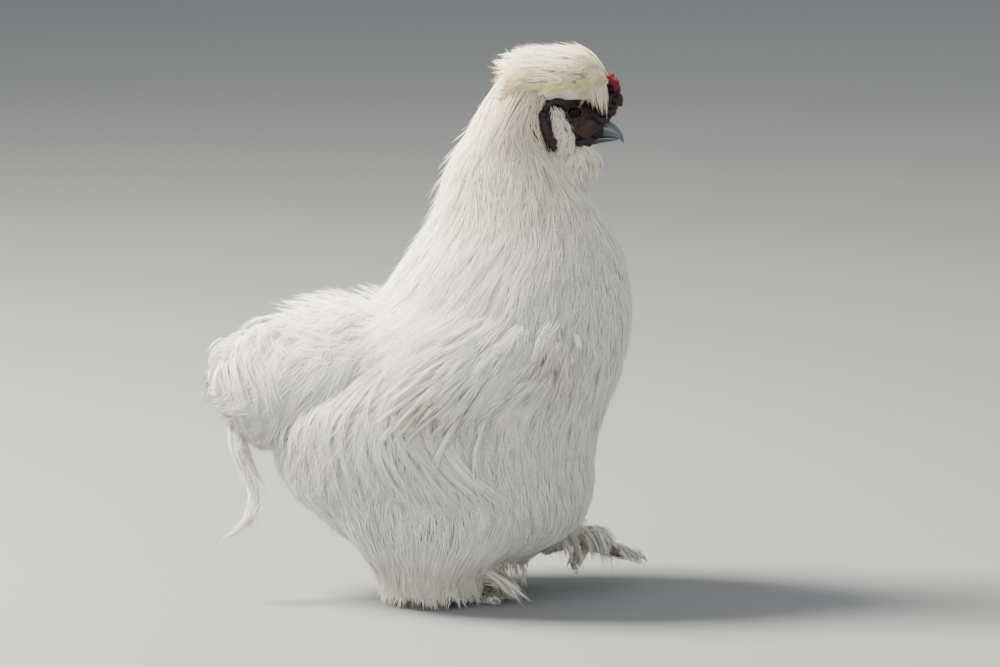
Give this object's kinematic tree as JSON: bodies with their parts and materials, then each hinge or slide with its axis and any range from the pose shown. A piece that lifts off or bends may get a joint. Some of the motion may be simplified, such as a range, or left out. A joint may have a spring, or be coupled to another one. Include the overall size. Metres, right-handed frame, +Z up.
{
  "type": "silkie chicken",
  "caption": "Life-size still model of a white silkie cock in mid stride, with crest, walnut comb, loose silky plumage and feathered feet",
  "frame": {"origin": "the point on the floor under the centre of the bird's box", "axes": "+X the way the bird faces, +Y its own left side, +Z up"},
  "size_m": [0.3156, 0.2016, 0.4015],
  "materials": {
    "plumage": "silky white plumage, loose and soft",
    "crest_plumage": "silky cream plumage",
    "face_skin": "fine wrinkled dark mulberry skin",
    "comb_skin": "bumpy dark red skin with a soft sheen",
    "beak_horn": "satin slate horn",
    "eye": "wet black",
    "foot_skin": "scaled lead grey skin",
    "claw_horn": "pale slate horn"
  },
  "bodies": {
    "root": {"beak_lower": "beak_horn", "beak_upper": "beak_horn", "beard": "plumage", "cheek_left": "plumage", "cheek_right": "plumage", "claw_left_fifth": "claw_horn", "claw_left_hind": "claw_horn", "claw_left_inner": "claw_horn", "claw_left_middle": "claw_horn", "claw_left_outer": "claw_horn", "claw_right_fifth": "claw_horn", "claw_right_hind": "claw_horn", "claw_right_inner": "claw_horn", "claw_right_middle": "claw_horn", "claw_right_outer": "claw_horn", "comb": "comb_skin", "crest": "crest_plumage", "earlobe_left": "face_skin", "earlobe_right": "face_skin", "eye_left": "eye", "eye_right": "eye", "foot_left": "foot_skin", "foot_right": "foot_skin", "head": "face_skin", "neck": "plumage", "saddle": "plumage", "shank_left": "plumage", "shank_right": "plumage", "tail": "plumage", "thigh_left": "plumage", "thigh_right": "plumage", "torso": "plumage", "wattle_left": "comb_skin", "wattle_right": "comb_skin", "wing_left": "plumage", "wing_right": "plumage"}
  },
  "joints": []
}
